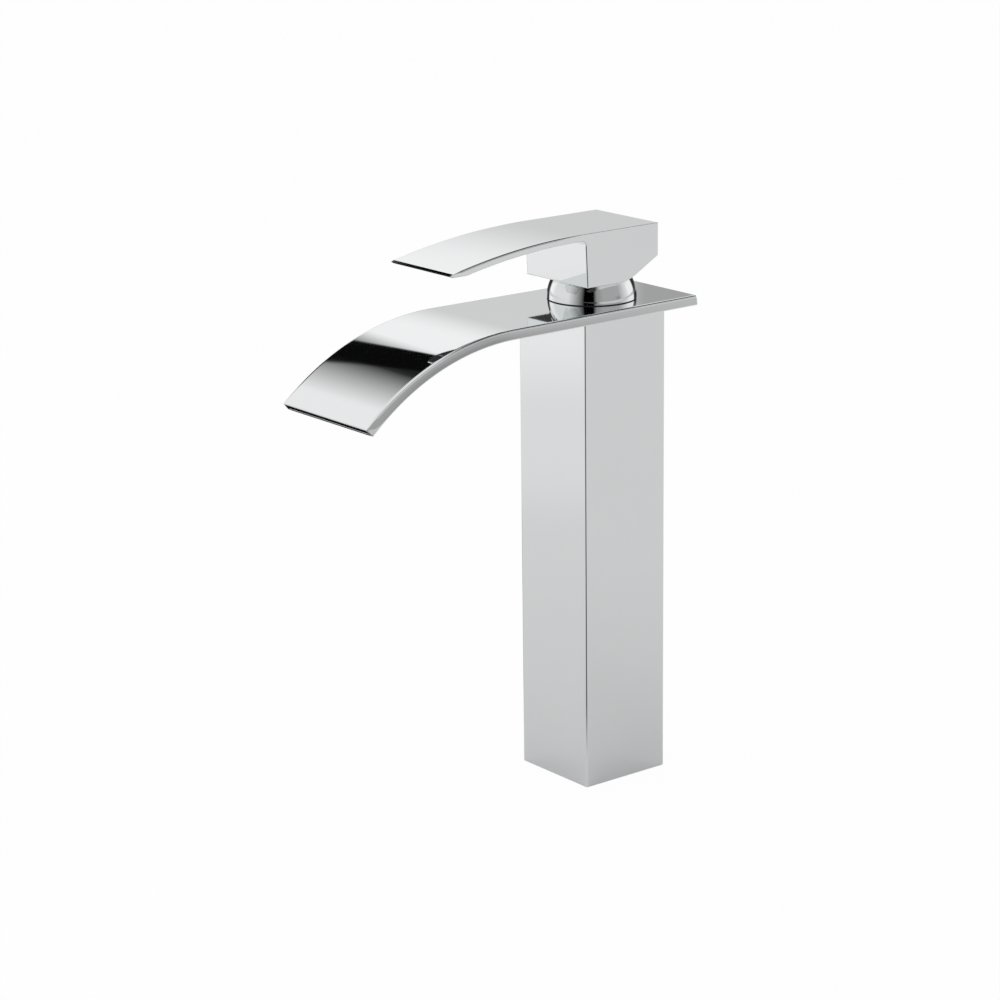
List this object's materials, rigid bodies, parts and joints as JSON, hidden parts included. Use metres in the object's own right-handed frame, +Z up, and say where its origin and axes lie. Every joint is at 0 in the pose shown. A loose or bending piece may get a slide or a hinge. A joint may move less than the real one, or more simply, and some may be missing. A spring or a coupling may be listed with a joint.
{
  "type": "basin mixer tap",
  "caption": "Tall square-column basin mixer with an arched waterfall spout and a single top lever that lifts for flow and turns for temperature.",
  "frame": {"origin": "middle of the column's underside, where the tap stands on the basin or deck", "axes": "+Z up along the column, -Y forward along the spout and lever, +X to the cold side"},
  "size_m": [0.0674, 0.1993, 0.2759],
  "materials": {
    "chrome": "polished chrome plating",
    "brass": "machined casting",
    "copper": "drawn copper tube",
    "rubber": "moulded rubber",
    "pale_plastic": "moulded plastic",
    "dark_plastic": "moulded plastic",
    "ceramic": "lapped ceramic",
    "steel": "turned steel",
    "index_plug": "glossy cap"
  },
  "bodies": {
    "tap_body": {"column": "chrome", "base_plate": "brass", "deck_gasket": "rubber", "hot_supply_tube": "copper", "cold_supply_tube": "copper", "supply_tube_seals": "rubber", "valve_body": "brass", "spout_inlet_seals": "rubber", "spout_shell": "chrome", "spout_floor": "chrome", "cartridge_base": "pale_plastic", "cup_floor_seals": "rubber", "disc_seals": "rubber", "fixed_disc": "ceramic", "cartridge_housing": "pale_plastic", "cartridge_nut": "brass", "dome_cover": "chrome", "dome_seal": "rubber"},
    "turret": {"stem_rotor": "dark_plastic", "rotor_seal": "rubber", "stem_pin": "steel"},
    "lever": {"lever_stem": "steel", "handle": "chrome", "handle_set_screw": "steel", "index_plug": "index_plug"},
    "disc_slider": {"disc_carrier": "dark_plastic", "moving_disc": "ceramic"}
  },
  "joints": [
    {"name": "lever_turn", "type": "hinge", "parent": "tap_body", "child": "turret", "pos_m": [0, 0, 0.239], "axis": [0, 0, 1], "range_deg": [-45, 45]},
    {"name": "lever_lift", "type": "hinge", "parent": "turret", "child": "lever", "pos_m": [0, 0, 0.239], "axis": [-1, 0, 0], "range_deg": [0, 20]},
    {"name": "disc_slide", "type": "slide", "parent": "turret", "child": "disc_slider", "axis": [0, -1, 0], "range_m": [0, 0.0038]}
  ],
  "couplings": [
    {"joint": "disc_slide", "follows": "lever_lift", "m_per_rad": 0.010778}
  ]
}
